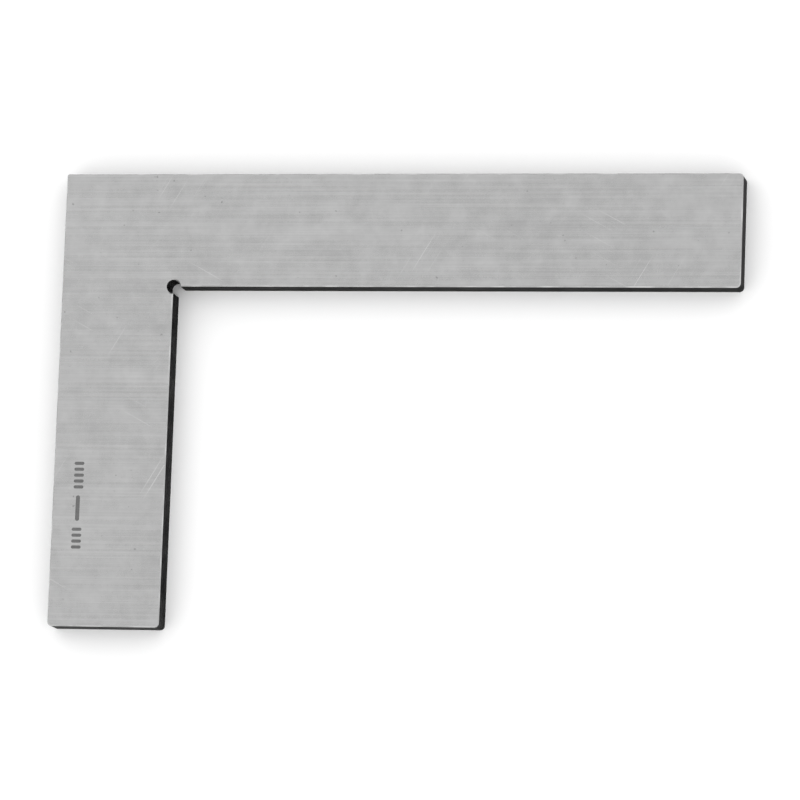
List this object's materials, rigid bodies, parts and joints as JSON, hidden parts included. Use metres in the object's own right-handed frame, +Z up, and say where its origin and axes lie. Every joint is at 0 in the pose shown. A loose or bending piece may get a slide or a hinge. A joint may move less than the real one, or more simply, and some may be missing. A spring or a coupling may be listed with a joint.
{
  "type": "flat steel square",
  "caption": "Flat L-shaped steel square, ground on every side, with a round relief at the inner corner, for marking out and checking right angles.",
  "frame": {"origin": "the outer corner, where the two outer edges meet, on the resting face", "axes": "+X along the long arm's outer edge, -Y along the short arm's outer edge, +Z up through the plate to the marked face"},
  "size_m": [0.15, 0.1, 0.006],
  "materials": {
    "steel": "surface ground",
    "mark": "matt dark filling in the engraving"
  },
  "bodies": {
    "root": {"square_body": "steel", "mark_fill": "mark"}
  },
  "joints": []
}
